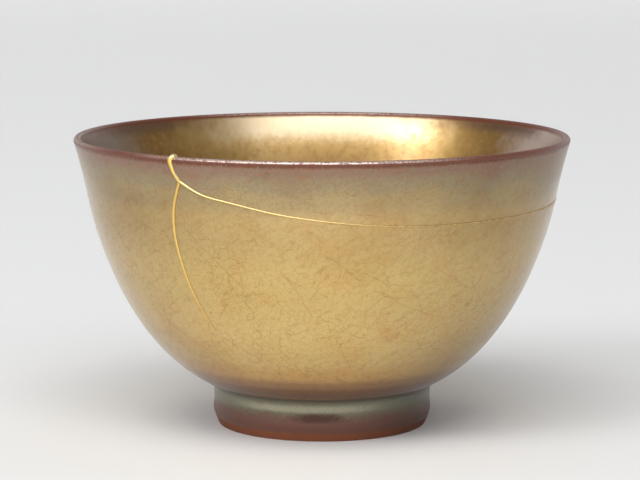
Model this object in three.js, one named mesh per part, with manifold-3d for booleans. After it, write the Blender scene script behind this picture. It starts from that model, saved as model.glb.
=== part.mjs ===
// A thrown and trimmed tea bowl in gold-lustre stoneware on a foot ring.
// It has cracked from the lip, and the crack is mended with a raised seam of gold lacquer.
// Millimetres, +Z up. The origin is the centre of the foot ring's resting face.
// The seam comes over the lip at the front left (-X, -Y).
import * as THREE from "three";
import { mergeVertices } from "three/addons/utils/BufferGeometryUtils.js";
import Module from "manifold-3d";

// Overall sizes
const RIM_RADIUS = 60;
const HEIGHT = 70.5;

// Foot ring, from the resting face up to the cove under the body
const FOOT_INNER_RADIUS = 21.6;
const FOOT_BASE_RADIUS = 25;
const FOOT_EDGE = 0.45;
const FOOT_BULGE = { radius: 26.55, height: 3.4 };
const FOOT_WAIST = { radius: 26.38, height: 6.2 };
const FOOT_TOP = { radius: 26.5, height: 8.4 };
const RECESS = { depth: 5.6, ceilingRadius: 17.5, wallRadius: 20.9, wallHeight: 2.8 };

// Body: a small overhanging edge above the cove, a full belly, then a wall that flares a little at the lip.
// A rise is the slope above the horizontal, a lean the slope away from the vertical, both in degrees.
const BODY_EDGE = { radius: 28.35, height: 10.73, overhang: 0.22 };
const BELLY = { rise: 27.3, lowPull: 14.6, radius: 53.9, height: 45.45, lean: 18.8, highPull: 14.9 };
const FLARE = { lowPull: 10.2, lean: 16.4, highPull: 12.8 };
const LIP_RADIUS = 0.85;

// Inside: one curve from the lip to the floor
const INSIDE = { lean: 17, wallPull: 44, floorPull: 40, floorHeight: 13.2 };

// Facets along each round stretch of the section, and round the axis
const STEPS = { recess: 3, foot: 5, cove: 3, belly: 9, flare: 5, lip: 7, inside: 10 };
const LATHE_SEGMENTS = 64;

// Gold seam: a stem over the lip, and from its fork one branch down the wall and one round to the side.
// A route's points are [azimuth in degrees, distance down the wall from the lip's crest].
// Widths are those at the start and the end of a branch.
const FORK = [-123.1, 6.3];
const STEM = {
  route: [[-124.2, 0], [-124.7, 1.4], [-124.3, 4], FORK],
  widths: [1.25, 0.95],
  insideWidths: [1.25, 0.8],
  steps: 8,
};
const DOWN_BRANCH = {
  route: [FORK, [-125.7, 12.6], [-126.6, 19.4], [-125.9, 29], [-124.5, 35.9], [-121.6, 44]],
  widths: [0.75, 0.4],
  insideWidths: [0.64, 0.34],
  steps: 14,
};
const SIDE_BRANCH = {
  route: [
    FORK, [-118, 9.1], [-110.6, 10.8], [-96.8, 13.6], [-78, 15.7], [-58, 16.4], [-14, 16], [10, 15],
  ],
  widths: [0.7, 0.36],
  insideWidths: [0.6, 0.3],
  steps: 24,
};

// Section of the seam: its rise above the wall as a share of its width, its depth in the wall, its corners,
// and the room that its groove leaves around it
const SEAM_PROUD_SHARE = 0.42;
const SEAM_SUNK = 0.1;
const SEAM_CORNERS = 6;
const SEAM_CLEARANCE = 0.3;

const MERGE_DISTANCE = 1e-4;
const DEGREE = Math.PI / 180;

const at = (radius, height) => new THREE.Vector2(radius, height);

// A point at a distance from another, along a direction that leans outwards from the vertical.
function along(point, lean, distance) {
  return at(
    point.x + distance * Math.sin(lean * DEGREE),
    point.y + distance * Math.cos(lean * DEGREE),
  );
}

// The lip's round edge, from the outer wall over to the inner one.
function lipCurve(centre) {
  return new THREE.EllipseCurve(
    centre.x, centre.y, LIP_RADIUS, LIP_RADIUS,
    -FLARE.lean * DEGREE, (180 - INSIDE.lean) * DEGREE,
  );
}

// The section as curves: out of the recess under the foot, up the outside, over the lip and down the inside.
function sectionCurves() {
  const recessTop = at(0, RECESS.depth);
  const recessEdge = at(RECESS.ceilingRadius, RECESS.depth);
  const recessCorner = at(RECESS.wallRadius, RECESS.depth);
  const recessWall = at(RECESS.wallRadius, RECESS.wallHeight);
  const ringInside = at(FOOT_INNER_RADIUS - FOOT_EDGE, FOOT_EDGE);
  const restInner = at(FOOT_INNER_RADIUS, 0);
  const restOuter = at(FOOT_BASE_RADIUS, 0);
  const ringOutside = at(FOOT_BASE_RADIUS + FOOT_EDGE, FOOT_EDGE);
  const bulge = at(FOOT_BULGE.radius, FOOT_BULGE.height);
  const waist = at(FOOT_WAIST.radius, FOOT_WAIST.height);
  const footTop = at(FOOT_TOP.radius, FOOT_TOP.height);
  const underEdge = at(BODY_EDGE.radius - BODY_EDGE.overhang, BODY_EDGE.height - BODY_EDGE.overhang);
  const coveCorner = at(footTop.x, underEdge.y);
  const bodyEdge = at(BODY_EDGE.radius, BODY_EDGE.height);
  const shoulder = at(BELLY.radius, BELLY.height);
  const lipCentre = at(RIM_RADIUS - LIP_RADIUS, HEIGHT - LIP_RADIUS);
  const lipOuter = along(lipCentre, 90 + FLARE.lean, LIP_RADIUS);
  const lipInner = along(lipCentre, INSIDE.lean - 90, LIP_RADIUS);
  const floor = at(0, INSIDE.floorHeight);
  const belly = new THREE.CubicBezierCurve(
    bodyEdge,
    along(bodyEdge, 90 - BELLY.rise, BELLY.lowPull),
    along(shoulder, BELLY.lean, -BELLY.highPull),
    shoulder,
  );
  const flare = new THREE.CubicBezierCurve(
    shoulder,
    along(shoulder, BELLY.lean, FLARE.lowPull),
    along(lipOuter, FLARE.lean, -FLARE.highPull),
    lipOuter,
  );
  const inside = new THREE.CubicBezierCurve(
    lipInner,
    along(lipInner, INSIDE.lean, -INSIDE.wallPull),
    at(INSIDE.floorPull, INSIDE.floorHeight),
    floor,
  );
  return [
    { curve: new THREE.LineCurve(recessTop, recessEdge), steps: 1 },
    { curve: new THREE.QuadraticBezierCurve(recessEdge, recessCorner, recessWall), steps: STEPS.recess },
    { curve: new THREE.LineCurve(recessWall, ringInside), steps: 1 },
    { curve: new THREE.LineCurve(ringInside, restInner), steps: 1 },
    { curve: new THREE.LineCurve(restInner, restOuter), steps: 1 },
    { curve: new THREE.LineCurve(restOuter, ringOutside), steps: 1 },
    { curve: new THREE.SplineCurve([ringOutside, bulge, waist, footTop]), steps: STEPS.foot },
    { curve: new THREE.QuadraticBezierCurve(footTop, coveCorner, underEdge), steps: STEPS.cove },
    { curve: new THREE.LineCurve(underEdge, bodyEdge), steps: 1 },
    { curve: belly, steps: STEPS.belly },
    { curve: flare, steps: STEPS.flare },
    { curve: lipCurve(lipCentre), steps: STEPS.lip, isLip: true },
    { curve: inside, steps: STEPS.inside },
  ];
}

// The sampled section for the lathe: each curve's own steps, with shared end points once.
function sectionPoints(sections) {
  const points = [sections[0].curve.getPoint(0)];
  for (const { curve, steps } of sections) {
    for (let i = 1; i <= steps; i += 1) points.push(curve.getPoint(i / steps));
  }
  points[points.length - 1].x = 0;
  return points;
}

// The whole section as one path, and the distance along it at which the lip's crest lies.
function wallPath(sections) {
  const path = new THREE.CurvePath();
  let crest = 0;
  for (const { curve, isLip } of sections) {
    if (isLip) crest = path.getLength() + LIP_RADIUS * (90 + FLARE.lean) * DEGREE;
    path.add(curve);
    path.cacheLengths = null;
  }
  return { path, crest, length: path.getLength() };
}

// A point on the wall and the way out of it, by azimuth and distance down from the crest (negative inside).
function onWall(wall, azimuth, down) {
  const t = (wall.crest - down) / wall.length;
  const point = wall.path.getPoint(t);
  const tangent = wall.path.getTangent(t);
  const east = Math.cos(azimuth * DEGREE);
  const north = Math.sin(azimuth * DEGREE);
  return {
    place: new THREE.Vector3(point.x * east, point.x * north, point.y),
    normal: new THREE.Vector3(tangent.y * east, tangent.y * north, -tangent.x),
  };
}

// One ring of a bead's corners: a low arch above the wall, and a shallow keel in it.
function beadRing({ place, normal }, across, width, grow) {
  const corners = [];
  for (let k = 0; k < SEAM_CORNERS; k += 1) {
    const angle = (2 * Math.PI * k) / SEAM_CORNERS;
    const rise = Math.sin(angle) > 0 ? width * SEAM_PROUD_SHARE : SEAM_SUNK;
    const corner = place.clone()
      .addScaledVector(across, Math.cos(angle) * (width / 2 + grow))
      .addScaledVector(normal, Math.sin(angle) * (rise + grow));
    corners.push(...corner);
  }
  return corners;
}

// The triangles of a closed tube of rings, with a fan at each end.
function tubeIndex(steps) {
  const index = [];
  for (let i = 0; i < steps; i += 1) {
    for (let k = 0; k < SEAM_CORNERS; k += 1) {
      const a = i * SEAM_CORNERS + k;
      const b = i * SEAM_CORNERS + ((k + 1) % SEAM_CORNERS);
      index.push(a, b, a + SEAM_CORNERS, b, b + SEAM_CORNERS, a + SEAM_CORNERS);
    }
  }
  const last = steps * SEAM_CORNERS;
  for (let k = 1; k < SEAM_CORNERS - 1; k += 1) {
    index.push(0, k + 1, k);
    index.push(last, last + k, last + k + 1);
  }
  return index;
}

// A closed bead along a route on the wall, tapering. Side is 1 for the outer wall and -1 for the inner.
function bead(wall, { route, steps }, widths, side, grow) {
  const line = new THREE.SplineCurve(route.map(([azimuth, down]) => at(azimuth, side * down)));
  const spots = line.getPoints(steps).map(({ x, y }) => onWall(wall, x, y));
  const positions = spots.flatMap((spot, i) => {
    const before = spots[Math.max(i - 1, 0)].place;
    const after = spots[Math.min(i + 1, steps)].place;
    const across = spot.normal.clone().cross(after.clone().sub(before)).normalize();
    return beadRing(spot, across, THREE.MathUtils.lerp(...widths, i / steps), grow);
  });
  const geometry = new THREE.BufferGeometry();
  geometry.setAttribute("position", new THREE.Float32BufferAttribute(positions, 3));
  geometry.setIndex(tubeIndex(steps));
  return geometry;
}

// The whole seam: the crack goes through the wall, so each branch runs outside and, a little finer, inside.
function seamBeads(wall, grow) {
  return [STEM, DOWN_BRANCH, SIDE_BRANCH].flatMap((branch) => [
    bead(wall, branch, branch.widths, 1, grow),
    bead(wall, branch, branch.insideWidths, -1, grow),
  ]);
}

const wasm = await Module();
wasm.setup();

// A three.js geometry as a solid: shared vertices merged, and the flat triangles at a lathe's poles left out.
function toSolid(geometry) {
  const bare = geometry.clone();
  bare.deleteAttribute("normal");
  bare.deleteAttribute("uv");
  const merged = mergeVertices(bare, MERGE_DISTANCE);
  const triVerts = [];
  for (let i = 0; i < merged.index.count; i += 3) {
    const [a, b, c] = merged.index.array.slice(i, i + 3);
    if (a !== b && b !== c && c !== a) triVerts.push(a, b, c);
  }
  return new wasm.Manifold(
    new wasm.Mesh({
      numProp: 3,
      vertProperties: merged.attributes.position.array,
      triVerts: new Uint32Array(triVerts),
    }),
  );
}

// A solid back as a three.js geometry.
function toGeometry(solid) {
  const mesh = solid.getMesh();
  const geometry = new THREE.BufferGeometry();
  geometry.setAttribute("position", new THREE.BufferAttribute(mesh.vertProperties, 3));
  geometry.setIndex(new THREE.BufferAttribute(mesh.triVerts, 1));
  geometry.computeVertexNormals();
  return geometry;
}

function named(name, geometry, material) {
  const mesh = new THREE.Mesh(geometry, material);
  mesh.name = name;
  return mesh;
}

const lustreGlaze = new THREE.MeshStandardMaterial({ color: 0xb4945c, roughness: 0.42, metalness: 0.3 });
const goldLacquer = new THREE.MeshStandardMaterial({ color: 0xe2b13c, roughness: 0.32, metalness: 0.9 });

const sections = sectionCurves();
const wall = wallPath(sections);
const thrown = new THREE.LatheGeometry(sectionPoints(sections), LATHE_SEGMENTS).rotateX(Math.PI / 2);
const join = (beads) => beads.map(toSolid).reduce((whole, next) => whole.add(next));
const bowlSolid = toSolid(thrown).subtract(join(seamBeads(wall, SEAM_CLEARANCE)));
const seamSolid = join(seamBeads(wall, 0));

const teaBowl = new THREE.Group();
teaBowl.add(named("bowl", toGeometry(bowlSolid), lustreGlaze));
teaBowl.add(named("gold_seam", toGeometry(seamSolid), goldLacquer));

export default teaBowl;
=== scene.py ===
"""A kintsugi tea bowl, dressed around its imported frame.

Lengths are in metres in the frame's own axes: +Z up, with the origin at the centre of the foot ring's
resting face. The bowl is spun from its section, the mend is a bead of gold lacquer laid along the wall,
and a pale round sweep with soft lights stands around them.
"""

from __future__ import annotations

import logging
import math
from dataclasses import dataclass
from enum import Enum
from typing import Any, Union

import bpy
import numpy as np
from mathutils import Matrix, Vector
from mathutils.geometry import interpolate_bezier


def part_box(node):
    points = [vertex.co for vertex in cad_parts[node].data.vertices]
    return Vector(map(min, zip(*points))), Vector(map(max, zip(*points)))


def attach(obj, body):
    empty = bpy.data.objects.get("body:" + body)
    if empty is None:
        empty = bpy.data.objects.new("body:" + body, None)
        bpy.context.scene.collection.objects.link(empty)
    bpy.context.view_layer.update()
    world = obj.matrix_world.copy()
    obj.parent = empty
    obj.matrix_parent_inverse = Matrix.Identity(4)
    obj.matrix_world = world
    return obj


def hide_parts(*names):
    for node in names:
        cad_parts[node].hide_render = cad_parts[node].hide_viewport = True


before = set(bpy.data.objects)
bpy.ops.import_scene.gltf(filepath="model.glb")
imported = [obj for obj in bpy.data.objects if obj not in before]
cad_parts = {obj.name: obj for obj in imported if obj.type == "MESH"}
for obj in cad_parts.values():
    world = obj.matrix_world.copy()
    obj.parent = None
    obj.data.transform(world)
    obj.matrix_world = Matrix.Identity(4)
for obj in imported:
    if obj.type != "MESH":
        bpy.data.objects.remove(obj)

LOG = logging.getLogger("tea_bowl")
MM = 0.001
MERGE_DISTANCE = 1e-7
Colour = tuple[float, float, float]
Place = tuple[float, float, float]
Span = tuple[float, float]
Number = Union[float, "Wire"]


class Side(Enum):
    """The two faces of the wall, by the sign of a distance down from the lip's crest."""

    OUTSIDE = 1
    INSIDE = -1


class Coat(Enum):
    """The bowl's material slots, in order."""

    OUTER = 0
    INNER = 1
    FOOT = 2
    LIP = 3


# Drawing


def deselect() -> None:
    """Leaves object mode with nothing selected."""
    if bpy.context.mode != "OBJECT":
        bpy.ops.object.mode_set(mode="OBJECT")
    bpy.ops.object.select_all(action="DESELECT")


def draw_line(name: str, points: list[Vector]) -> bpy.types.Object:
    """Draws a chain of edges by extruding one vertex from point to point.

    Args:
        name: the new object's name.
        points: the places the chain goes through.

    Returns:
        The object, active and selected, in edit mode with every vertex selected.
    """
    deselect()
    bpy.ops.mesh.primitive_plane_add(size=MM, location=(0, 0, 0))
    line = bpy.context.object
    line.name = name
    line.data.name = name
    bpy.ops.object.mode_set(mode="EDIT")
    bpy.ops.mesh.select_all(action="SELECT")
    bpy.ops.mesh.merge(type="CENTER")
    bpy.ops.transform.translate(value=points[0])
    for before, after in zip(points, points[1:]):
        bpy.ops.mesh.extrude_region_move(TRANSFORM_OT_translate={"value": after - before})
    bpy.ops.mesh.select_all(action="SELECT")
    return line


def spin_line(line: bpy.types.Object, segments: int) -> None:
    """Spins a drawn line once round the Z axis into a closed skin that points outwards.

    Args:
        line: an object from draw_line, still in edit mode.
        segments: faces round the axis.
    """
    bpy.ops.mesh.spin(
        steps=segments, angle=2 * math.pi, center=(0, 0, 0), axis=(0, 0, 1), use_auto_merge=True
    )
    bpy.ops.mesh.select_all(action="SELECT")
    bpy.ops.mesh.remove_doubles(threshold=MERGE_DISTANCE)
    bpy.ops.mesh.normals_make_consistent(inside=False)
    bpy.ops.object.mode_set(mode="OBJECT")


def apply_modifier(piece: bpy.types.Object, kind: str, **settings: Any) -> None:
    """Adds a modifier to a piece, sets it and applies it.

    Args:
        piece: the mesh object.
        kind: the modifier's type.
        settings: its properties.
    """
    deselect()
    piece.select_set(True)
    bpy.context.view_layer.objects.active = piece
    modifier = piece.modifiers.new(kind.title(), kind)
    for key, value in settings.items():
        setattr(modifier, key, value)
    bpy.ops.object.modifier_apply(modifier=modifier.name)


def bezier(start: Vector, pull: Vector, push: Vector, end: Vector, spacing: float) -> list[Vector]:
    """A cubic curve as evenly drawn points.

    Args:
        start: its first point.
        pull: the handle that it leaves towards.
        push: the handle that it arrives from.
        end: its last point.
        spacing: about how far apart the points are.

    Returns:
        The points, both ends included.
    """
    reach = (pull - start).length + (push - pull).length + (end - push).length
    return interpolate_bezier(start, pull, push, end, max(3, round(reach / spacing)))


def smooth_line(points: list[Vector], spacing: float) -> list[Vector]:
    """A smooth line through a few points.

    Args:
        points: the points it passes through.
        spacing: about how far apart the new points are.

    Returns:
        The new points, both ends included.
    """
    made = [points[0]]
    padded = [points[0], *points, points[-1]]
    for before, start, end, after in zip(padded, padded[1:], padded[2:], padded[3:]):
        made += bezier(start, start + (end - before) / 6, end - (after - start) / 6, end, spacing)[1:]
    return made


# The bowl's form


@dataclass(frozen=True)
class Spot:
    """A place on the wall and the way out of it."""

    place: Vector
    normal: Vector


@dataclass(frozen=True)
class BowlSection:
    """The bowl's section, from the recess under the foot, up the outside, over the lip and down the inside.

    A rise is a slope above the horizontal and a lean a slope away from the vertical, in degrees.
    """

    rim_radius: float
    height: float
    recess_depth: float = 5.6 * MM
    recess_ceiling_radius: float = 17.5 * MM
    recess_wall_radius: float = 20.9 * MM
    recess_wall_height: float = 2.8 * MM
    rest_inner_radius: float = 21.6 * MM
    rest_outer_radius: float = 25.0 * MM
    rest_edge: float = 0.45 * MM
    foot_bulge: Place = (26.55 * MM, 0, 3.4 * MM)
    foot_waist: Place = (26.38 * MM, 0, 6.2 * MM)
    foot_top: Place = (26.5 * MM, 0, 8.4 * MM)
    body_edge_radius: float = 28.35 * MM
    body_edge_height: float = 10.73 * MM
    body_edge_overhang: float = 0.22 * MM
    belly_rise: float = 27.3
    belly_low_pull: float = 14.6 * MM
    belly_radius: float = 53.9 * MM
    belly_height: float = 45.45 * MM
    belly_lean: float = 18.8
    belly_high_pull: float = 14.9 * MM
    flare_low_pull: float = 10.2 * MM
    flare_lean: float = 16.4
    flare_high_pull: float = 12.8 * MM
    lip_radius: float = 0.85 * MM
    throat_flare: float = 25.0
    throat_radius: float = 54.9 * MM
    throat_height: float = 60.8 * MM
    throat_pull: float = 3.5 * MM
    inside_lean: float = 16.8
    inside_wall_pull: float = 35.0 * MM
    inside_floor_pull: float = 40.0 * MM
    floor_height: float = 13.2 * MM
    wall_spacing: float = 1.0 * MM
    foot_spacing: float = 0.45 * MM
    edge_spacing: float = 0.12 * MM

    def outline(self) -> list[Vector]:
        """The whole section in the XZ plane, from the axis under the foot to the axis at the floor."""
        strokes = [self.underside(), self.foot(), self.belly(), self.lip(), self.inside()]
        points = strokes[0][:1]
        for stroke in strokes:
            points += stroke[1:]
        return points

    def underside(self) -> list[Vector]:
        """The recess inside the foot ring and the ring's resting face."""
        centre = Vector((0, 0, self.recess_depth))
        ceiling = Vector((self.recess_ceiling_radius, 0, self.recess_depth))
        corner = Vector((self.recess_wall_radius, 0, self.recess_depth))
        wall = Vector((self.recess_wall_radius, 0, self.recess_wall_height))
        ring = Vector((self.rest_inner_radius - self.rest_edge, 0, self.rest_edge))
        rest = Vector((self.rest_inner_radius, 0, 0))
        third = 1 / 3
        flat = bezier(
            centre, centre.lerp(ceiling, third), ceiling.lerp(centre, third), ceiling, self.wall_spacing
        )
        turn = bezier(
            ceiling, ceiling.lerp(corner, 2 * third), wall.lerp(corner, 2 * third), wall, self.foot_spacing
        )
        edge = bezier(wall, wall.lerp(ring, 0.9), ring.lerp(rest, 0.3), rest, self.foot_spacing)
        return flat + turn[1:] + edge[1:]

    def foot(self) -> list[Vector]:
        """The resting face, the ring's outside and the cove under the body's edge."""
        inner = Vector((self.rest_inner_radius, 0, 0))
        outer = Vector((self.rest_outer_radius, 0, 0))
        ring = Vector((self.rest_outer_radius + self.rest_edge, 0, self.rest_edge))
        corner = Vector((self.rest_outer_radius + 0.8 * self.rest_edge, 0, 0))
        top = Vector(self.foot_top)
        under = self.edge_underside()
        cove = Vector((top.x, 0, under.z))
        rest = [inner, inner.lerp(outer, 0.5), outer]
        edge = bezier(outer, outer.lerp(corner, 0.7), ring.lerp(corner, 0.7), ring, self.edge_spacing)
        side = smooth_line([ring, Vector(self.foot_bulge), Vector(self.foot_waist), top], self.foot_spacing)
        hollow = bezier(top, top.lerp(cove, 0.67), under.lerp(cove, 0.67), under, self.foot_spacing)
        return rest + edge[1:] + side[1:] + hollow[1:]

    def belly(self) -> list[Vector]:
        """The wall's outside, from the edge over the cove to the lip."""
        under = self.edge_underside()
        edge = Vector((self.body_edge_radius, 0, self.body_edge_height))
        shoulder = Vector((self.belly_radius, 0, self.belly_height))
        lip = self.lip_point(-self.flare_lean)
        roll = bezier(
            under,
            under + self.slope(45, 0.6 * self.body_edge_overhang),
            edge - self.slope(90 - self.belly_rise, 0.2 * self.body_edge_overhang),
            edge,
            self.edge_spacing,
        )
        low = bezier(
            edge,
            edge + self.slope(90 - self.belly_rise, self.belly_low_pull),
            shoulder - self.slope(self.belly_lean, self.belly_high_pull),
            shoulder,
            self.wall_spacing,
        )
        high = bezier(
            shoulder,
            shoulder + self.slope(self.belly_lean, self.flare_low_pull),
            lip - self.slope(self.flare_lean, self.flare_high_pull),
            lip,
            self.wall_spacing,
        )
        return roll + low[1:] + high[1:]

    def edge_underside(self) -> Vector:
        """Where the cove meets the underside of the body's edge."""
        inset = self.body_edge_overhang
        return Vector((self.body_edge_radius - inset, 0, self.body_edge_height - inset))

    def lip(self) -> list[Vector]:
        """The lip's round edge, with a point on its crest."""
        outer = np.linspace(-self.flare_lean, 90, 15)
        inner = np.linspace(90, 180 - self.throat_flare, 13)[1:]
        return [self.lip_point(angle) for angle in (*outer, *inner)]

    def inside(self) -> list[Vector]:
        """The inner wall, from its flare at the lip to the middle of the floor."""
        start = self.lip_point(180 - self.throat_flare)
        throat = Vector((self.throat_radius, 0, self.throat_height))
        floor = Vector((0, 0, self.floor_height))
        flare = bezier(
            start,
            start - self.slope(self.throat_flare, self.throat_pull),
            throat + self.slope(self.inside_lean, self.throat_pull),
            throat,
            self.foot_spacing,
        )
        pull = throat - self.slope(self.inside_lean, self.inside_wall_pull)
        wall = bezier(throat, pull, floor + Vector((self.inside_floor_pull, 0, 0)), floor, self.wall_spacing)
        return flare + wall[1:]

    def lip_point(self, angle: float) -> Vector:
        """The point of the lip's round edge at an angle above the outward horizontal, in degrees."""
        centre = Vector((self.rim_radius - self.lip_radius, 0, self.height - self.lip_radius))
        turn = math.radians(angle)
        return centre + self.lip_radius * Vector((math.cos(turn), 0, math.sin(turn)))

    @staticmethod
    def slope(lean: float, distance: float) -> Vector:
        """A step of some length that leans outwards from the vertical by an angle in degrees."""
        turn = math.radians(lean)
        return distance * Vector((math.sin(turn), 0, math.cos(turn)))


class Wall:
    """The bowl's section measured along its length, so that places on the wall can be found."""

    skin_slack: float = 0.3 * MM
    nudge: float = 0.05 * MM

    def __init__(self, section: BowlSection) -> None:
        """Measures the section's outline from its start and notes where the lip's crest lies."""
        outline = section.outline()
        self.radii = np.array([point.x for point in outline])
        self.heights = np.array([point.z for point in outline])
        steps = np.hypot(np.diff(self.radii), np.diff(self.heights))
        self.lengths = np.concatenate([[0.0], np.cumsum(steps)])
        self.top = int(np.argmax(self.heights))
        self.crest = float(self.lengths[self.top])
        self.outer_start = int(np.argmax(self.heights > section.body_edge_height))

    def profile(self, down: float) -> tuple[float, float]:
        """The radius and height at a distance down from the crest, negative for the inside."""
        at = self.crest - down
        radius = np.interp(at, self.lengths, self.radii)
        height = np.interp(at, self.lengths, self.heights)
        return float(radius), float(height)

    def outer_radius(self, height: float) -> float:
        """The radius of the outer face at a height."""
        outside = slice(self.outer_start, self.top)
        return float(np.interp(height, self.heights[outside], self.radii[outside]))

    def inner_radius(self, height: float) -> float:
        """The radius of the inner face at a height."""
        inside = slice(None, self.top, -1)
        return float(np.interp(height, self.heights[inside], self.radii[inside]))

    def stand_off(self, point: Vector) -> float:
        """How far a point near the wall stands off the nearer of its faces, level with it."""
        radius = math.hypot(point.x, point.y)
        outwards = radius - self.outer_radius(point.z)
        inwards = self.inner_radius(point.z) - radius
        return max(outwards, inwards, point.z - float(self.heights[self.top]))

    def is_inner(self, point: Vector) -> bool:
        """Whether a point of the skin lies on the inner face."""
        return math.hypot(point.x, point.y) < self.inner_radius(point.z) + self.skin_slack

    def spot(self, azimuth: float, down: float) -> Spot:
        """A place on the wall.

        Args:
            azimuth: the angle round the axis, in degrees from +X towards +Y.
            down: the distance down the wall from the crest, negative inside.

        Returns:
            The place and the outward normal there.
        """
        radius, height = self.profile(down)
        radius_below, height_below = self.profile(down + self.nudge)
        radius_above, height_above = self.profile(down - self.nudge)
        turn = math.radians(azimuth)
        out = Vector((math.cos(turn), math.sin(turn), 0))
        rise = Vector((0, 0, 1))
        along = out * (radius_above - radius_below) + rise * (height_above - height_below)
        normal = out * along.z - rise * along.dot(out)
        return Spot(out * radius + rise * height, normal.normalized())


@dataclass
class BowlBody:
    """The fired bowl: one spun skin with its glazes."""

    section: BowlSection
    segments: int = 320
    smooth_angle: float = 38.0
    floor_slack: float = 0.2 * MM

    def build(self) -> bpy.types.Object:
        """Spins the section into the bowl's mesh."""
        bowl = draw_line("tea_bowl", self.section.outline())
        spin_line(bowl, self.segments)
        bpy.ops.object.shade_smooth_by_angle(angle=math.radians(self.smooth_angle))
        return bowl

    def dress(self, bowl: bpy.types.Object, finishes: dict[Coat, Glaze]) -> None:
        """Gives each face its glaze.

        Args:
            bowl: the object from build.
            finishes: the glaze of each slot.
        """
        for coat in Coat:
            bowl.data.materials.append(finishes[coat].material())
        section = self.section
        crest_radius = section.rim_radius - section.lip_radius
        edge = section.body_edge_height - 0.5 * section.body_edge_overhang
        lip_outside = section.lip_point(-section.flare_lean).z
        lip_inside = section.lip_point(180 - section.throat_flare).z
        wall = Wall(section)
        for face in bowl.data.polygons:
            middle = face.center
            inward = math.hypot(middle.x, middle.y) < crest_radius
            within = middle.z > section.floor_height - self.floor_slack and wall.is_inner(middle)
            if middle.z > (lip_inside if inward else lip_outside):
                face.material_index = Coat.LIP.value
            elif within and inward:
                face.material_index = Coat.INNER.value
            elif middle.z < edge:
                face.material_index = Coat.FOOT.value
            else:
                face.material_index = Coat.OUTER.value


@dataclass(frozen=True)
class Branch:
    """One branch of the mend, as a route on the wall.

    Route points are (azimuth in degrees, distance down from the crest in millimetres), and widths, in
    millimetres, are those of the bead at the same points.
    """

    route: tuple[tuple[float, float], ...]
    widths: tuple[float, ...]


FORK = (-123.1, 6.3)
STEM = Branch(
    route=((-124.2, 0), (-124.7, 1.4), (-124.3, 4), FORK),
    widths=(1.4, 1.2, 0.9, 0.9),
)
DOWN_BRANCH = Branch(
    route=(FORK, (-125.7, 12.6), (-126.6, 19.4), (-125.9, 29), (-124.5, 35.9), (-121.6, 44)),
    widths=(0.76, 0.68, 0.62, 0.57, 0.5, 0.3),
)
SIDE_BRANCH = Branch(
    route=(
        FORK, (-118, 9.1), (-110.6, 10.8), (-96.8, 13.6), (-78, 15.7), (-58, 16.4), (-14, 16), (10, 15)
    ),
    widths=(0.8, 0.52, 0.44, 0.4, 0.36, 0.34, 0.31, 0.2),
)


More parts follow.
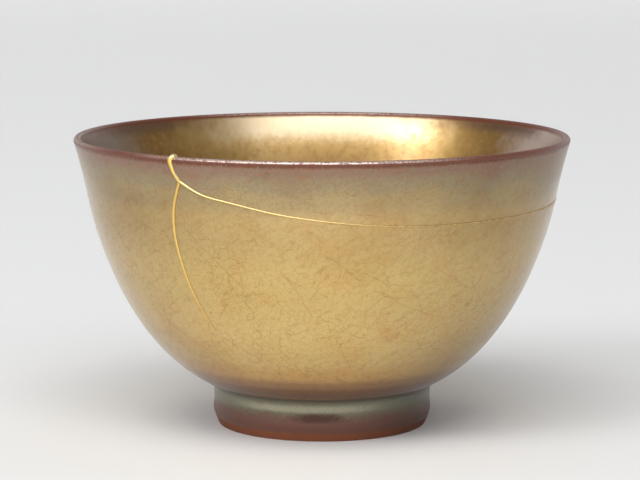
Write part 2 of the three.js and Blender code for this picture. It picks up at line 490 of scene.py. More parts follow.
@dataclass
class GoldSeam:
    """The gold lacquer that mends the crack: one bead over the lip that forks outside and inside."""

    wall: Wall
    inside_share: float = 0.85
    sunk_share: float = 0.04
    spacing: float = 0.25 * MM
    bump_size: float = 0.8 * MM
    bump_height: float = 0.09 * MM
    crown_height: float = 0.19 * MM
    bead_resolution: int = 4

    def build(self) -> bpy.types.Object:
        """Lays the branches along the wall and fuses them into one skin."""
        tubes = [self.lay("seam_stem", self.over_the_lip())]
        for side in Side:
            for name, branch in (("seam_down", DOWN_BRANCH), ("seam_side", SIDE_BRANCH)):
                tubes.append(self.lay(name, self.on_side(branch, side)))
        seam = tubes[0]
        for tube in tubes[1:]:
            apply_modifier(seam, "BOOLEAN", object=tube, operation="UNION", solver="MANIFOLD")
            bpy.data.objects.remove(tube)
        seam.name = "kintsugi_seam"
        seam.data.name = "kintsugi_seam"
        ripples = bpy.data.textures.new("lacquer_ripples", "CLOUDS")
        ripples.noise_scale = self.bump_size
        apply_modifier(
            seam, "DISPLACE", texture=ripples, texture_coords="LOCAL",
            strength=self.bump_height, mid_level=0.5,
        )
        bpy.ops.object.shade_smooth()
        return seam

    def dress(self, seam: bpy.types.Object, finish: GoldLacquer) -> None:
        """Gives the seam its gold, and notes how far each point stands off the wall for the finish to read.

        Args:
            seam: the object from build.
            finish: the gold.
        """
        seam.data.materials.clear()
        seam.data.materials.append(finish.material())
        crown = seam.data.attributes.new(finish.crown_name, "FLOAT", "POINT")
        stands = [self.wall.stand_off(vertex.co) / self.crown_height for vertex in seam.data.vertices]
        crown.data.foreach_set("value", np.clip(stands, 0, 1))

    def over_the_lip(self) -> Branch:
        """The stem from the fork inside, over the crest, to the fork outside."""
        inner = tuple((azimuth, -down) for azimuth, down in STEM.route[:0:-1])
        inner_widths = tuple(width * self.inside_share for width in STEM.widths[:0:-1])
        return Branch(inner + STEM.route, inner_widths + STEM.widths)

    def on_side(self, branch: Branch, side: Side) -> Branch:
        """A branch on one face of the wall, finer on the inside."""
        share = 1.0 if side is Side.OUTSIDE else self.inside_share
        route = tuple((azimuth, side.value * down) for azimuth, down in branch.route)
        return Branch(route, tuple(width * share for width in branch.widths))

    def lay(self, name: str, branch: Branch) -> bpy.types.Object:
        """Lays one bead along a branch.

        Args:
            name: the new object's name.
            branch: its route and widths.

        Returns:
            A closed round bead, set a little into the wall.
        """
        degree = math.radians(1) * self.wall.radii.max() / MM
        knots = [
            Vector((azimuth * degree, down, width))
            for (azimuth, down), width in zip(branch.route, branch.widths)
        ]
        steps = smooth_line(knots, self.spacing / MM)
        spots = [self.wall.spot(step.x / degree, step.y * MM) for step in steps]
        widths = [step.z * MM for step in steps]
        middles = [
            spot.place - spot.normal * (width * self.sunk_share) for spot, width in zip(spots, widths)
        ]
        bead = draw_line(name, middles)
        bpy.ops.object.mode_set(mode="OBJECT")
        bpy.ops.object.convert(target="CURVE")
        curve = bead.data
        curve.dimensions = "3D"
        curve.bevel_depth = 0.5
        curve.bevel_resolution = self.bead_resolution
        curve.use_fill_caps = True
        points = curve.splines[0].points
        if (points[0].co.xyz - middles[0]).length > (points[-1].co.xyz - middles[0]).length:
            widths.reverse()
        points.foreach_set("radius", widths)
        bpy.ops.object.convert(target="MESH")
        bpy.ops.object.mode_set(mode="EDIT")
        bpy.ops.mesh.select_all(action="SELECT")
        bpy.ops.mesh.remove_doubles(threshold=MERGE_DISTANCE)
        bpy.ops.mesh.normals_make_consistent(inside=False)
        bpy.ops.object.mode_set(mode="OBJECT")
        return bpy.context.object


# Materials


class Wire:
    """A node's output that does arithmetic: each operation adds a Math node to the same tree."""

    def __init__(self, paint: Paint, socket: bpy.types.NodeSocket) -> None:
        """Holds the paint that the socket belongs to, and the socket."""
        self.paint = paint
        self.socket = socket

    def math(self, operation: str, *values: Number) -> Wire:
        """Adds one Math node.

        Args:
            operation: the node's operation.
            values: its inputs in order.

        Returns:
            The node's output.
        """
        return self.paint.node("ShaderNodeMath", {"operation": operation}, dict(enumerate(values)))

    def __add__(self, other: Number) -> Wire:
        """The sum of this and another."""
        return self.math("ADD", self, other)

    def __radd__(self, other: Number) -> Wire:
        """The sum of a number and this."""
        return self.math("ADD", other, self)

    def __sub__(self, other: Number) -> Wire:
        """This less another."""
        return self.math("SUBTRACT", self, other)

    def __rsub__(self, other: Number) -> Wire:
        """A number less this."""
        return self.math("SUBTRACT", other, self)

    def __mul__(self, other: Number) -> Wire:
        """The product of this and another."""
        return self.math("MULTIPLY", self, other)

    def __rmul__(self, other: Number) -> Wire:
        """The product of a number and this."""
        return self.math("MULTIPLY", other, self)

    def __truediv__(self, other: Number) -> Wire:
        """This divided by another."""
        return self.math("DIVIDE", self, other)

    def __abs__(self) -> Wire:
        """The size of this, without its sign."""
        return self.math("ABSOLUTE", self)

    def most(self, other: Number) -> Wire:
        """The larger of this and another."""
        return self.math("MAXIMUM", self, other)

    def ramp(self, low: float, high: float) -> Wire:
        """A smooth step from 0 at low to 1 at high. It falls instead where low is above high."""
        if low > high:
            return 1 - self.ramp(high, low)
        sockets = {"Value": self, "From Min": low, "From Max": high}
        return self.paint.node("ShaderNodeMapRange", {"interpolation_type": "SMOOTHSTEP"}, sockets)


class Paint:
    """A material's node tree, and the one way that nodes are added to it."""

    def __init__(self, name: str) -> None:
        """Starts an empty material."""
        self.material = bpy.data.materials.new(name)
        self.material.use_nodes = True
        self.tree = self.material.node_tree
        self.tree.nodes.clear()
        self.place = self.node("ShaderNodeTexCoord", output="Object")

    def add(self, kind: str, settings: dict[str, Any], sockets: dict[str | int, Any]) -> bpy.types.Node:
        """Adds a node.

        Args:
            kind: the node's type.
            settings: its properties, set first. "stops" are a colour ramp's (position, colour) pairs.
            sockets: values or wires by input name, identifier or index.

        Returns:
            The node.
        """
        made = self.tree.nodes.new(kind)
        for key, value in settings.items():
            if key == "stops":
                self.set_stops(made.color_ramp, value)
            else:
                setattr(made, key, value)
        for key, value in sockets.items():
            entry = self.find(made.inputs, key)
            if isinstance(value, Wire):
                self.tree.links.new(value.socket, entry)
            else:
                entry.default_value = (*value, 1.0) if entry.type == "RGBA" else value
        return made

    def node(
        self,
        kind: str,
        settings: dict[str, Any] | None = None,
        sockets: dict[str | int, Any] | None = None,
        output: str | int = 0,
    ) -> Wire:
        """Adds a node and takes one of its outputs.

        Args:
            kind: the node's type.
            settings: its properties.
            sockets: its inputs' values or wires.
            output: the output wanted, by name, identifier or index.

        Returns:
            That output.
        """
        made = self.add(kind, settings or {}, sockets or {})
        return Wire(self, self.find(made.outputs, output))

    @staticmethod
    def find(sockets: Any, key: str | int) -> bpy.types.NodeSocket:
        """The socket of that index, identifier or name."""
        if isinstance(key, int):
            return sockets[key]
        return next((socket for socket in sockets if socket.identifier == key), None) or sockets[key]

    @staticmethod
    def set_stops(ramp: bpy.types.ColorRamp, stops: list[tuple[float, Colour]]) -> None:
        """Puts stops on a colour ramp, with an eased change between them."""
        ramp.interpolation = "EASE"
        while len(ramp.elements) < len(stops):
            ramp.elements.new(1.0)
        for element, (position, colour) in zip(ramp.elements, stops):
            element.position = position
            element.color = (*colour, 1.0)

    def axis(self, name: str) -> Wire:
        """One Object coordinate, X, Y or Z, in millimetres."""
        return self.node("ShaderNodeSeparateXYZ", None, {"Vector": self.place}, name) / MM

    def turn(self) -> Wire:
        """The angle round the bowl's axis from the front, in degrees, rising to the right."""
        east, north = self.axis("X"), self.axis("Y")
        return east.math("ARCTAN2", east, 0 - north) * math.degrees(1)

    def noise(self, grain: float, detail: float = 2.0, roughness: float = 0.5) -> Wire:
        """Smooth noise from 0 to 1.

        Args:
            grain: the size of its patches, in metres.
            detail: how many finer layers it has.
            roughness: how strong those are.

        Returns:
            The noise's value.
        """
        sockets = {"Vector": self.place, "Scale": 1 / grain, "Detail": detail, "Roughness": roughness}
        return self.node("ShaderNodeTexNoise", None, sockets, "Fac")

    def warp(self, grain: float, reach: float) -> Wire:
        """The Object coordinates pushed about by noise.

        Args:
            grain: the size of the noise's patches, in metres.
            reach: how far a point is pushed at most, in metres.

        Returns:
            The pushed coordinates.
        """
        swirl = self.node("ShaderNodeTexNoise", None, {"Vector": self.place, "Scale": 1 / grain}, "Color")
        level = self.vector("SUBTRACT", swirl, (0.5, 0.5, 0.5))
        push = self.vector("MULTIPLY", level, (2 * reach, 2 * reach, 2 * reach))
        return self.vector("ADD", self.place, push)

    def vector(self, operation: str, first: Any, second: Any, output: str = "Vector") -> Wire:
        """One Vector Math node on two vectors."""
        return self.node("ShaderNodeVectorMath", {"operation": operation}, {0: first, 1: second}, output)

    def mix(self, share: Number, first: Any, second: Any, blend: str = "MIX") -> Wire:
        """A mix of two colours.

        Args:
            share: how much of the second shows, from 0 to 1.
            first: a colour or a wire.
            second: a colour or a wire.
            blend: how they mix.

        Returns:
            The mixed colour.
        """
        settings = {"data_type": "RGBA", "blend_type": blend}
        sockets = {"Factor_Float": share, "A_Color": first, "B_Color": second}
        return self.node("ShaderNodeMix", settings, sockets, "Result_Color")

    def colours(self, along: Wire, stops: list[tuple[float, Colour]], low: float, high: float) -> Wire:
        """A colour that changes along a value.

        Args:
            along: the value.
            stops: (value, colour) pairs in rising order.
            low: the value at the ramp's start.
            high: the value at its end.

        Returns:
            The colour.
        """
        placed = [((value - low) / (high - low), colour) for value, colour in stops]
        share = (along - low) / (high - low)
        return self.node("ShaderNodeValToRGB", {"stops": placed}, {"Fac": share}, "Color")

    def crackle(self, cell: float, width: float, place: Wire) -> Wire:
        """A net of fine cracks, from 0 to 1 on a line.

        Args:
            cell: the size of the net's cells, in metres.
            width: the width of its lines, in metres.
            place: where it is read.

        Returns:
            How strongly a line shows.
        """
        settings = {"feature": "DISTANCE_TO_EDGE"}
        edge = self.node("ShaderNodeTexVoronoi", settings, {"Vector": place, "Scale": 1 / cell}, "Distance")
        return edge.ramp(0.5 * width / cell, 0.0)

    def relief(self, height: Wire, depth: float, strength: float) -> Wire:
        """A bumped normal.

        Args:
            height: the relief, from 0 to 1.
            depth: how high 1 stands, in metres.
            strength: how much of it shows.

        Returns:
            The normal.
        """
        return self.node("ShaderNodeBump", None, {"Height": height, "Distance": depth, "Strength": strength})

    def coat(self, sockets: dict[str, Any]) -> bpy.types.Material:
        """Finishes the material with one shader.

        Args:
            sockets: the shader's values and wires by name.

        Returns:
            The material.
        """
        shader = self.node("ShaderNodeBsdfPrincipled", None, sockets)
        self.add("ShaderNodeOutputMaterial", {}, {"Surface": shader})
        return self.material


@dataclass(frozen=True)
class Hairline:
    """A long fine crack on the outside.

    Its ends are (degrees round from the front, height in millimetres), and its bow is in millimetres.
    """

    start: tuple[float, float]
    end: tuple[float, float]
    bow: float = 0.0


@dataclass(frozen=True)
class Glaze:
    """What the bowl's glazes share: the iron-red lip, the satin of the surface, and the black and back fade
    of the shade painted on the sides.
    """

    lip_red: Colour = (0.135, 0.035, 0.014)
    coat_roughness: float = 0.25
    coat_ior: float = 1.55
    edge_tint: Colour = (0.55, 0.48, 0.44)
    # Painted shade: the black that the bowl's sides are darkened towards, fading out towards the back.
    painted_shade_black: Colour = (0.0, 0.0, 0.0)
    back_fade: Span = (172.0, 115.0)

    def material(self) -> bpy.types.Material:
        """The finished material."""
        raise NotImplementedError


@dataclass(frozen=True)
class IronLip(Glaze):
    """The lip's round edge: iron red, its crest rubbed to a metallic lustre with a speckled highlight painted
    on it where light falls: in front, a little at the left and at the back.
    """

    # Painted highlight: the pale colour laid on the crest where light falls.
    painted_crest_highlight: Colour = (0.80, 0.64, 0.56)
    dark: Colour = (0.06, 0.018, 0.01)
    crest_rise: Span = (69.82, 70.02)
    crest_fall: Span = (70.5, 70.38)
    speckle_size: float = 0.45 * MM
    stain_size: float = 0.7 * MM

    def material(self) -> bpy.types.Material:
        """The lip's material."""
        paint = Paint("iron_lip")
        height = paint.axis("Z")
        turn = paint.turn()
        speckle = paint.noise(self.speckle_size, 2, 0.6).ramp(0.36, 0.58)
        # Painted highlight: the crest is paled and made metallic where light falls on it, in front, a little
        # at the left and at the back, as well as rubbed by wear.
        front = turn.ramp(-52, -16) * turn.ramp(40, 8)
        left = turn.ramp(-50, -70) * turn.ramp(-125, -105)
        back = abs(turn).ramp(138, 165)
        wear_and_painted_sheen = front + 0.2 * left + 0.5 * back
        crest = height.ramp(*self.crest_rise) * height.ramp(*self.crest_fall) * (0.18 + 0.82 * speckle)
        stain = paint.noise(self.stain_size, 3, 0.6).ramp(0.45, 0.65)
        body = paint.mix(0.5 * stain, self.lip_red, self.dark)
        body = paint.mix(0.85 * crest * wear_and_painted_sheen, body, self.painted_crest_highlight)
        return paint.coat({
            "Base Color": body,
            "Metallic": 0.75 * crest * wear_and_painted_sheen,
            "Roughness": 0.4 - 0.1 * crest,
            "Coat Weight": 0.1,
            "Coat Roughness": self.coat_roughness,
            "Coat IOR": self.coat_ior,
            "Normal": paint.relief(speckle, 0.04 * MM, 0.5),
        })


@dataclass(frozen=True)
class CrackleLustre(Glaze):
    """The outside: gold lustre over a fine crackle, greying towards the lip and browning towards the foot,
    with a painted highlight band round the belly, painted shade deepening the browns at the foot and painted
    shade on the sides.
    """

    mauve: Colour = (0.245, 0.142, 0.105)
    ash: Colour = (0.285, 0.218, 0.125)
    pale_gold: Colour = (0.365, 0.27, 0.122)
    gold: Colour = (0.675, 0.484, 0.175)
    # Painted highlight: the brighter gold of a band round the belly.
    painted_highlight_gold: Colour = (0.73, 0.525, 0.20)
    honey: Colour = (0.505, 0.352, 0.13)
    amber: Colour = (0.625, 0.385, 0.105)
    umber: Colour = (0.34, 0.18, 0.055)
    plum_brown: Colour = (0.172, 0.074, 0.027)
    edge_brown: Colour = (0.098, 0.047, 0.02)
    edge_orange: Colour = (0.30, 0.13, 0.05)
    crack: Colour = (0.30, 0.105, 0.012)
    sage: Colour = (0.20, 0.19, 0.11)
    warm_tint: Colour = (0.98, 0.84, 0.64)
    cool_tint: Colour = (0.95, 0.97, 0.84)
    cloud_tint: Colour = (0.9, 0.78, 0.6)
    grain_tint: Colour = (0.72, 0.66, 0.56)
    leather_tint: Colour = (0.86, 0.80, 0.68)
    stroke_tint: Colour = (0.80, 0.70, 0.55)
    sand_tint: Colour = (1.2, 1.12, 1.05)
    mottle_size: float = 6 * MM
    cloud_size: float = 17 * MM
    grain_size: float = 0.5 * MM
    leather_size: float = 1.2 * MM
    sand_size: float = 0.6 * MM
    fine_cell: float = 1.9 * MM
    fine_width: float = 0.12 * MM
    middle_cell: float = 3.6 * MM
    middle_width: float = 0.16 * MM
    wide_cell: float = 13 * MM
    wide_width: float = 0.18 * MM
    relief_depth: float = 0.05 * MM
    stroke_slant: float = -28.0
    haze: float = 0.4
    haze_roughness: float = 0.32
    haze_colour: Colour = (0.95, 0.96, 0.97)
    hair_width: float = 0.12
    hair_strength: float = 0.4
    turn_length: float = 0.9
    hairlines: tuple[Hairline, ...] = (
        Hairline((-49.4, 54.2), (-38.0, 51.5)),
        Hairline((-35.5, 56.0), (-17.9, 38.3)),
        Hairline((-52.7, 32.3), (-32.6, 22.1), bow=-1.4),
        Hairline((-31.1, 28.3), (-18.9, 22.2)),
        Hairline((-13.3, 26.6), (-4.3, 16.2)),
        Hairline((-21.8, 56.4), (-14.3, 53.8)),
        Hairline((-17.6, 55.4), (-7.5, 48.3)),
        Hairline((-9.0, 44.0), (-2.3, 33.5)),
        Hairline((-43.1, 38.6), (-45.6, 31.6)),
        Hairline((-9.1, 43.5), (-4.4, 41.0)),
        Hairline((1.7, 48.7), (11.7, 40.8)),
        Hairline((7.9, 45.4), (18.2, 39.9), bow=0.7),
        Hairline((13.6, 39.7), (30.0, 33.0)),
        Hairline((17.0, 29.0), (31.0, 34.0)),
        Hairline((39.8, 42.0), (57.2, 29.0), bow=-0.8),
        Hairline((2.5, 26.0), (13.7, 29.3)),
        Hairline((4.8, 26.4), (9.5, 20.1)),
        Hairline((27.9, 45.2), (41.6, 38.4)),
        Hairline((29.9, 54.4), (31.8, 48.9)),
        Hairline((13.4, 63.3), (16.6, 60.9)),
        Hairline((29.5, 67.1), (34.7, 63.3)),
    )

    def material(self) -> bpy.types.Material:
        """The outside's material."""
        paint = Paint("crackle_lustre")
        height = paint.axis("Z")
        drift = paint.noise(16 * MM, 3) - 0.5
        ragged = paint.noise(2.2 * MM, 3) - 0.5
        reach = height.ramp(56, 62) * height.ramp(68.5, 65)
        level = height + drift * (0.5 + 7 * reach) + ragged * (0.3 + 2.5 * reach)
        # The gold brightens to a painted highlight band at 29 mm. Below about 18 mm the glaze's own browns
        # are darkened further towards the foot by painted shade under the belly.
        stops = [
            (10.65, self.edge_orange),
            (11.0, self.edge_brown),
            (13.2, self.plum_brown),
            (15.2, self.umber),
            (17.6, self.amber),
            (22.0, self.gold),
            (29.0, self.painted_highlight_gold),
            (40.0, self.gold),
            (56.0, self.honey),
            (61.2, self.pale_gold),
            (64.3, self.ash),
            (68.4, self.mauve),
            (69.4, self.lip_red),
        ]
        body = paint.colours(level, stops, 10.6, 70.5)
        mottle = paint.noise(self.mottle_size, 4, 0.6)
        body = paint.mix(0.5 * mottle.ramp(0.46, 0.74), body, self.warm_tint, "MULTIPLY")
        body = paint.mix(0.5 * mottle.ramp(0.5, 0.28), body, self.cool_tint, "MULTIPLY")
        clouds = paint.noise(self.cloud_size, 3)
        body = paint.mix(0.55 * clouds.ramp(0.48, 0.7), body, self.cloud_tint, "MULTIPLY")
        grain = paint.noise(self.grain_size, 3, 0.6)
        body = paint.mix(0.45 * grain.ramp(0.52, 0.72), body, self.grain_tint, "MULTIPLY")
        leather = paint.noise(self.leather_size, 3, 0.65)
        body = paint.mix(0.5 * leather.ramp(0.46, 0.68), body, self.leather_tint, "MULTIPLY")
        flat = self.unrolled(paint)
        strokes = self.strokes(paint, flat)
        body = paint.mix(0.4 * strokes.ramp(0.5, 0.72), body, self.stroke_tint, "MULTIPLY")
        # Painted shade: the sides are darkened, the right more than the left and more lower down, fading out
        # towards the back.
        turn = paint.turn()
        low = height.ramp(48, 20)
        painted_side_shading = turn.ramp(0, 52) * (0.17 + 0.16 * low) + turn.ramp(-22, -55) * (0.08 + 0.08 * low)
        body = paint.mix(painted_side_shading * abs(turn).ramp(*self.back_fade), body, self.painted_shade_black)
        upper = height.ramp(60, 65) * height.ramp(69.6, 68.8)
        sand = paint.noise(self.sand_size, 3, 0.7)
        body = paint.mix(0.75 * upper * sand.ramp(0.5, 0.66), body, self.sage)
        body = paint.mix(0.5 * upper * sand.ramp(0.46, 0.3), body, self.sand_tint, "MULTIPLY")
        net = self.net(paint, flat)
        body = paint.mix(net, body, self.crack)
        gold_share = height.ramp(12, 18) * height.ramp(64.5, 58.5)
        relief = paint.noise(0.9 * MM, 2) * 0.4 + (1 - net) * 0.4 + strokes * 0.3
        return paint.coat({
            "Base Color": body,
            "Metallic": 0.15 + 0.75 * gold_share,
            "Roughness": 0.42 + 0.08 * strokes,
            "Coat Weight": 0.15 + 0.75 * gold_share,
            "Coat Roughness": self.coat_roughness,
            "Coat IOR": self.coat_ior,
            "Specular Tint": self.edge_tint,
            "Sheen Weight": self.haze,
            "Sheen Roughness": self.haze_roughness,
            "Sheen Tint": self.haze_colour,
            "Normal": paint.relief(relief, self.relief_depth, 0.5),
        })

    def unrolled(self, paint: Paint) -> Wire:
        """The wall unrolled, as millimetres round and up, wavering like a crack."""
        waver = (paint.noise(1.1 * MM, 3, 0.6) - 0.5) * 1.6 + (paint.noise(5 * MM, 2) - 0.5) * 3.2
        across = paint.turn() * self.turn_length + waver
        return paint.node("ShaderNodeCombineXYZ", None, {"X": across, "Y": paint.axis("Z") - waver})

    def strokes(self, paint: Paint, flat: Wire) -> Wire:
        """Faint slanting brush strokes, fading out at the back."""
        settings = {"rotation_type": "Z_AXIS"}
        sockets = {"Vector": flat, "Angle": math.radians(self.stroke_slant)}
        slant = paint.node("ShaderNodeVectorRotate", settings, sockets)
        stretched = paint.vector("MULTIPLY", slant, (0.12, 1.1, 1.0))
        sockets = {"Vector": stretched, "Scale": 1.0, "Detail": 3.0}
        marks = paint.node("ShaderNodeTexNoise", None, sockets, "Fac")
        return marks * abs(paint.turn()).ramp(165, 130)

    def net(self, paint: Paint, flat: Wire) -> Wire:
        """How strongly cracks show: a fine patchy net, a wide one and the long hairlines."""
        patches = paint.noise(9 * MM, 2)
        fine = paint.crackle(self.fine_cell, self.fine_width, paint.warp(2.6 * MM, 0.35 * MM))
        middle = paint.crackle(self.middle_cell, self.middle_width, paint.warp(3.4 * MM, 0.7 * MM))
        wide = paint.crackle(self.wide_cell, self.wide_width, paint.warp(6 * MM, 2.4 * MM))
        fine = fine * (0.17 + 0.26 * patches.ramp(0.35, 0.65))
        middle = middle * 0.44 * paint.noise(4 * MM, 2).ramp(0.4, 0.6)
        wide = wide * 0.52 * paint.noise(10 * MM, 2).ramp(0.42, 0.58)
        net = fine.most(middle).most(wide)
        for line in self.hairlines:
            net = net.most(self.hair(paint, flat, line) * self.hair_strength)
        return net * (0.6 + 0.8 * paint.noise(2.5 * MM, 2))

    def hair(self, paint: Paint, flat: Wire, line: Hairline) -> Wire:
        """How strongly one hairline shows.

        Args:
            paint: the material it is drawn in.
            flat: the wall unrolled, as millimetres round and up.
            line: where it lies.

        Returns:
            Its strength, from 0 to 1.
        """
        start = Vector((line.start[0] * self.turn_length, line.start[1], 0))
        end = Vector((line.end[0] * self.turn_length, line.end[1], 0))
        way = (end - start).normalized()
        side = Vector((-way.y, way.x, 0))
        share = (paint.vector("DOT_PRODUCT", flat, way, "Value") - start.dot(way)) / (end - start).length
        across = paint.vector("DOT_PRODUCT", flat, side, "Value") - start.dot(side)
        swell = share * (1 - share)
        gap = abs(across - 4 * line.bow * swell)
        return gap.ramp(self.hair_width, 0.2 * self.hair_width) * swell.ramp(0.0, 0.12)


@dataclass(frozen=True)
class BurnishedLustre(Glaze):
    """The inside: mottled burnished gold below the iron-red lip, with painted shade deepening it to bronze
    lower down and on the flanks, a painted highlight at the back and painted reflections on the sides.
    """

    gold: Colour = (0.49, 0.31, 0.10)
    bronze: Colour = (0.22, 0.11, 0.024)
    # Painted highlight: the pale colour laid where the highlight falls on the back wall.
    painted_highlight_straw: Colour = (0.70, 0.565, 0.37)
    # Painted reflections on the two sides: a dark one on the left and a pale one on the right.
    left_painted_reflection: Colour = (0.26, 0.21, 0.175)
    right_painted_reflection: Colour = (0.62, 0.51, 0.45)
    rose_brown: Colour = (0.17, 0.092, 0.062)

    def material(self) -> bpy.types.Material:
        """The inside's material."""
        paint = Paint("burnished_lustre")
        height = paint.axis("Z")
        turn = paint.turn()
        clouds = paint.noise(5 * MM, 5, 0.62)
        specks = paint.noise(1.3 * MM, 3, 0.6)
        side = abs(turn) + (clouds - 0.5) * 22
        # Painted shade: darker bronze deeper in the bowl.
        deep = (height + (clouds - 0.5) * 5).ramp(65.0, 54.0)
        body = paint.mix(0.75 * deep, self.gold, self.bronze)
        # Painted highlight: paler at the back, near the top.
        lit = side.ramp(138, 164) * (height + (specks - 0.5) * 4).ramp(61.5, 66.5)
        body = paint.mix(0.85 * lit, body, self.painted_highlight_straw)
        # Painted shade: dark bronze on either side of the highlight, darker on the left.
        flanks = side.ramp(156, 126) * height.ramp(45, 58)
        body = paint.mix((0.88 - 0.16 * turn.ramp(-10, 10)) * flanks, body, self.bronze)
        body = paint.mix(specks.ramp(0.5, 0.3) * 0.35 * side.ramp(162, 145), body, self.gold)
        blots = paint.noise(2.0 * MM, 3, 0.6).ramp(0.42, 0.72) * height.ramp(66, 60)
        body = paint.mix(0.45 * blots, body, self.bronze)
        # Painted reflections: grey patches on both sides, dark on the left and pale on the right.
        painted_reflection_share = side.ramp(130, 111) * side.ramp(58, 76) * height.ramp(50, 60)
        painted_side_shading = paint.mix(turn.ramp(-20, 20), self.left_painted_reflection, self.right_painted_reflection)
        body = paint.mix(0.9 * painted_reflection_share, body, painted_side_shading)
        level = height + (paint.noise(3 * MM, 3) - 0.5) * 0.3
        rosy = side.ramp(158, 132) * side.ramp(104, 118) * level.ramp(66.0, 69.0)
        body = paint.mix(0.8 * rosy, body, self.rose_brown)
        rim = level.ramp(69.0, 69.9)
        body = paint.mix(rim, body, self.lip_red)
        relief = specks * 0.5 + paint.noise(0.8 * MM, 2) * 0.3
        return paint.coat({
            "Base Color": body,
            "Metallic": 0.95 - 0.8 * rim,
            "Roughness": 0.36 + 0.08 * specks.ramp(0.55, 0.3),
            "Coat Weight": (0.3 + 0.4 * side.ramp(140, 160)) * (1 - 0.7 * rim),
            "Coat Roughness": self.coat_roughness,
            "Coat IOR": self.coat_ior,
            "Specular Tint": self.edge_tint,
            "Normal": paint.relief(relief, 0.05 * MM, 0.5),
        })


@dataclass(frozen=True)
class FootGlaze(Glaze):
    """The foot: grey-green glaze in the cove, mottled purple-brown below it, bare red clay at the base, with
    a painted highlight band across the front and painted shade under the body's edge and on the sides.
    """

    # Dark pits, and painted shade under the body's edge.
    pits_and_painted_shade: Colour = (0.075, 0.054, 0.03)
    celadon: Colour = (0.16, 0.15, 0.095)
    # Painted highlight: a paler celadon for the band of highlight across the front.
    celadon_highlight: Colour = (0.36, 0.345, 0.235)
    plum: Colour = (0.135, 0.054, 0.036)
    violet: Colour = (0.13, 0.075, 0.065)
    front_dark_patch: Colour = (0.058, 0.017, 0.008)
    clay: Colour = (0.205, 0.064, 0.026)
    clay_line: float = 2.0
    sand_size: float = 0.75 * MM
    turn_length: float = 0.46
    streak_slant: float = -32.0
    sand_tint: Colour = (0.62, 0.58, 0.54)

    def material(self) -> bpy.types.Material:
        """The foot's material."""
        paint = Paint("foot_glaze")
        height = paint.axis("Z")
        turn = paint.turn()
        drift = paint.noise(9 * MM, 2) - 0.5
        streaks = self.streaks(paint) - 0.5
        sand = paint.noise(self.sand_size, 3, 0.7)
        level = height + drift * 2.0 + streaks * 3.0 + (sand - 0.5) * 4.5
        stops = [(2.0, self.plum), (4.6, self.plum), (7.6, self.celadon), (10.0, self.celadon)]
        body = paint.colours(level, stops, 0.0, 12.0)
        glazed = height.ramp(2.0, 2.6) * height.ramp(7.5, 5.5)
        body = paint.mix(0.5 * glazed * sand.ramp(0.5, 0.64), body, self.violet)
        # A dark brown patch low on the front centre of the foot.
        off_centre = (turn + 2) / 14
        off_level = (height - 5.8) / 1.25
        spread = off_centre * off_centre + off_level * off_level + streaks * 0.8 + (sand - 0.5) * 0.8
        body = paint.mix(0.85 * spread.ramp(1.5, 0.0), body, self.front_dark_patch)
        pits = paint.noise(0.9 * MM, 2).ramp(0.7, 0.76) * height.ramp(6, 7.5)
        body = paint.mix(0.8 * pits, body, self.pits_and_painted_shade)
        # Painted highlight: a paler band at about 7.9 mm across the front.
        painted_highlight_band = abs(height - 7.9 + streaks).ramp(1.3, 0.2) * abs(turn + 9).ramp(52, 18)
        body = paint.mix(0.75 * painted_highlight_band, body, self.celadon_highlight)
        # Painted shade: darker at the top of the foot, under the body's edge.
        body = paint.mix(0.9 * height.ramp(8.9, 10.2), body, self.pits_and_painted_shade)
        bare = (height + drift * 0.6).ramp(self.clay_line + 0.35, self.clay_line - 0.35)
        body = paint.mix(bare, body, self.clay)
        body = paint.mix(0.4 * sand.ramp(0.5, 0.7), body, self.sand_tint, "MULTIPLY")
        # Painted shade: the sides darkened, the right more than the left, fading out towards the back.
        painted_side_shading = 0.4 * turn.ramp(8, 60) + 0.12 * turn.ramp(-25, -60)
        body = paint.mix(painted_side_shading * abs(turn).ramp(*self.back_fade), body, self.painted_shade_black)
        return paint.coat({
            "Base Color": body,
            "Metallic": 0.35 * height.ramp(4.5, 7.0),
            "Roughness": 0.36 + 0.35 * bare,
            "Coat Weight": 0.1 + 0.6 * height.ramp(5.5, 8.0) - 0.1 * bare,
            "Specular IOR Level": 0.3,
            "Coat Roughness": self.coat_roughness,
            "Coat IOR": self.coat_ior,
            "Normal": paint.relief(sand + streaks * 1.2, 0.06 * MM, 0.6),
        })

    def streaks(self, paint: Paint) -> Wire:
        """Slanting streaks round the foot."""
        around = abs(paint.turn()) * self.turn_length
        place = paint.node("ShaderNodeCombineXYZ", None, {"X": around, "Y": paint.axis("Z")})
        settings = {"rotation_type": "Z_AXIS"}
        sockets = {"Vector": place, "Angle": math.radians(self.streak_slant)}
        slant = paint.node("ShaderNodeVectorRotate", settings, sockets)
        stretched = paint.vector("MULTIPLY", slant, (0.3, 3.6, 1.0))
        sockets = {"Vector": stretched, "Scale": 1.0, "Detail": 3.0}
        return paint.node("ShaderNodeTexNoise", None, sockets, "Fac")


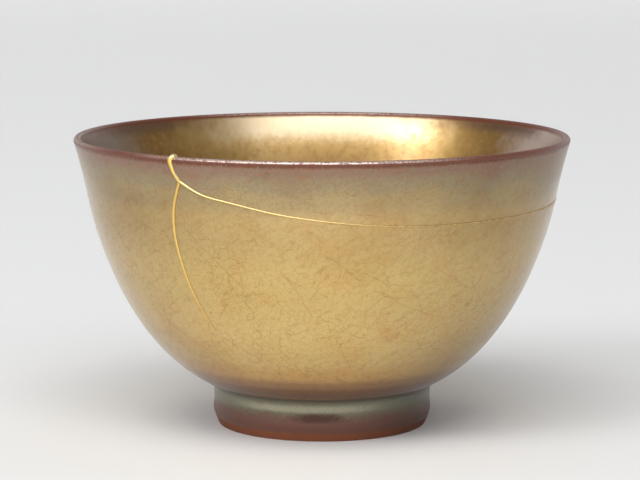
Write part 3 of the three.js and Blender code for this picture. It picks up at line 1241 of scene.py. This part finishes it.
@dataclass(frozen=True)
class GoldLacquer:
    """The mend: bright gold powder on raised lacquer, dulled by wear along the side branch, with a highlight
    painted on its upper side and shade painted underneath and along its edges at the wall, where dark lacquer
    also shows.
    """

    gold: Colour = (0.86, 0.58, 0.16)
    wear_and_painted_sheen: Colour = (0.55, 0.36, 0.14)
    # Painted highlight: the pale gold of the side that faces the light way.
    painted_highlight_cream: Colour = (0.95, 0.80, 0.52)
    # Painted shade on the bead's underside, and dark lacquer with painted shade along its edges at the wall.
    under: Colour = (0.22, 0.10, 0.02)
    crown_name: str = "crown"
    patch_size: float = 0.9 * MM
    powder_size: float = 0.25 * MM
    # The way that light is taken to come from, for the painted highlight and shade.
    light_way: Place = (0.25, 0.0, 1.0)

    def material(self) -> bpy.types.Material:
        """The seam's material."""
        paint = Paint("gold_lacquer")
        patches = paint.noise(self.patch_size, 3, 0.6).ramp(0.36, 0.62)
        wear = paint.turn().ramp(-16, 25) * (0.35 + 0.65 * patches)
        grain = paint.noise(self.powder_size, 2)
        crown = paint.node("ShaderNodeAttribute", {"attribute_name": self.crown_name}, output="Fac")
        # Painted highlight: paler on the side that faces the light way.
        facing = paint.node("ShaderNodeNewGeometry", output="Normal")
        lift = paint.vector("DOT_PRODUCT", facing, self.light_way, "Value")
        body = paint.mix(0.7 * lift.ramp(-0.1, 0.5), self.gold, self.painted_highlight_cream)
        body = paint.mix(wear, body, self.wear_and_painted_sheen)
        # Darker where the bead meets the wall: dark lacquer, with painted shade where bead and wall meet.
        body = paint.mix(0.8 * crown.ramp(0.8, 0.15), body, self.under)
        # Painted shade: dark on the underside.
        body = paint.mix(0.85 * lift.ramp(-0.45, -0.8), body, self.under)
        return paint.coat({
            "Base Color": body,
            "Metallic": 1.0,
            "Roughness": 0.26 + 0.2 * wear + 0.12 * grain,
            "Normal": paint.relief(grain, 0.03 * MM, 0.4),
        })


# The studio


@dataclass(frozen=True)
class SoftLight:
    """A soft light that faces a point from some way round it and above it, in degrees."""

    name: str
    azimuth: float
    elevation: float
    distance: float
    width: float
    depth: float
    irradiance: float
    aim: Place = (0.0, 0.0, 0.04)
    spread: float = 180.0

    def place(self) -> Vector:
        """Where the light stands."""
        turn = math.radians(self.azimuth)
        lift = math.radians(self.elevation)
        way = Vector((math.cos(turn) * math.cos(lift), math.sin(turn) * math.cos(lift), math.sin(lift)))
        return Vector(self.aim) + self.distance * way

    def build(self) -> None:
        """Adds the light, with the power that gives its irradiance at the point."""
        deselect()
        bpy.ops.object.light_add(type="AREA", location=self.place())
        lamp = bpy.context.object
        lamp.name = self.name
        lamp.data.shape = "RECTANGLE"
        lamp.data.size = self.width
        lamp.data.size_y = self.depth
        lamp.data.energy = self.irradiance * math.pi * self.distance**2
        lamp.data.spread = math.radians(self.spread)
        lamp.visible_camera = False
        lamp.rotation_euler = (Vector(self.aim) - self.place()).to_track_quat("-Z", "Y").to_euler()


@dataclass
class Studio:
    """A round pale sweep, soft lights and the camera."""

    floor_radius: float = 1.7
    sweep_radius: float = 0.9
    sweep_segments: int = 96
    floor_colour: Colour = (0.79, 0.792, 0.793)
    sky_colour: Colour = (1.0, 1.0, 1.0)
    sky_strength: float = 0.385
    lights: tuple[SoftLight, ...] = (
        SoftLight("overhead_light", -95, 62, distance=3.0, width=2.4, depth=1.3, irradiance=1.34),
        SoftLight("front_light", -97, 42, distance=2.5, width=4.0, depth=0.75, irradiance=1.15),
        SoftLight("left_light", -146, 30, distance=3.0, width=1.3, depth=0.9, irradiance=0.78),
        SoftLight(
            "backdrop_light", -90, 75, distance=2.5, width=4.0, depth=0.6, irradiance=0.4,
            aim=(0.0, 2.1, 0.1), spread=100.0,
        ),
        SoftLight(
            "bounce_light", -90, 89, distance=0.2, width=0.5, depth=0.14, irradiance=3.2,
            aim=(-0.02, -0.25, 0.0), spread=72.0,
        ),
    )
    camera_place: Place = (-0.4826 * MM, -646.0 * MM, 136.1 * MM)
    camera_pitch: float = 8.057
    camera_lens: float = 150.59
    camera_sensor: float = 36.0

    def build(self) -> None:
        """Sets up the sweep, the lights, the sky and the camera."""
        self.build_sweep()
        for light in self.lights:
            light.build()
        self.build_sky()
        self.build_camera()

    def build_sweep(self) -> None:
        """A flat round floor whose edge curves up all round."""
        flat = [Vector((self.floor_radius * share, 0, 0)) for share in np.linspace(0, 1, 9)]
        rise = [
            Vector((
                self.floor_radius + self.sweep_radius * math.sin(turn),
                0,
                self.sweep_radius * (1 - math.cos(turn)),
            ))
            for turn in np.linspace(0, math.pi / 2, 13)[1:]
        ]
        sweep = draw_line("studio_sweep", flat + rise)
        spin_line(sweep, self.sweep_segments)
        bpy.ops.object.shade_smooth()
        paint = Paint("studio_paper")
        sockets = {"Base Color": self.floor_colour, "Roughness": 0.9, "Specular IOR Level": 0.1}
        sweep.data.materials.append(paint.coat(sockets))

    def build_sky(self) -> None:
        """An even pale light from all round."""
        world = bpy.data.worlds.new("studio_sky")
        world.use_nodes = True
        background = world.node_tree.nodes["Background"]
        background.inputs["Color"].default_value = (*self.sky_colour, 1.0)
        background.inputs["Strength"].default_value = self.sky_strength
        bpy.context.scene.world = world
        bpy.context.scene.view_settings.view_transform = "Standard"

    def build_camera(self) -> None:
        """The camera, in front and a little above the rim."""
        deselect()
        bpy.ops.object.camera_add(
            location=self.camera_place, rotation=(math.radians(90 - self.camera_pitch), 0, 0)
        )
        camera = bpy.context.object
        camera.name = "front_camera"
        camera.data.sensor_width = self.camera_sensor
        camera.data.lens = self.camera_lens
        bpy.context.scene.camera = camera


def main() -> None:
    """Builds the studio, the bowl and its mend, and notes the sizes."""
    logging.basicConfig(level=logging.INFO, format="%(name)s: %(message)s")
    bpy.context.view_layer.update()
    _, bowl_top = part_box("bowl")
    section = BowlSection(rim_radius=bowl_top.x, height=bowl_top.z)

    Studio().build()

    body = BowlBody(section)
    bowl = body.build()
    body.dress(bowl, {
        Coat.OUTER: CrackleLustre(),
        Coat.INNER: BurnishedLustre(),
        Coat.FOOT: FootGlaze(),
        Coat.LIP: IronLip(),
    })
    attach(bowl, "root")
    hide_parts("bowl")
    LOG.info("%s: %d faces", bowl.name, len(bowl.data.polygons))

    mend = GoldSeam(Wall(section))
    seam = mend.build()
    mend.dress(seam, GoldLacquer())
    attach(seam, "root")
    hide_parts("gold_seam")
    LOG.info("%s: %d faces", seam.name, len(seam.data.polygons))


if __name__ == "__main__":
    main()
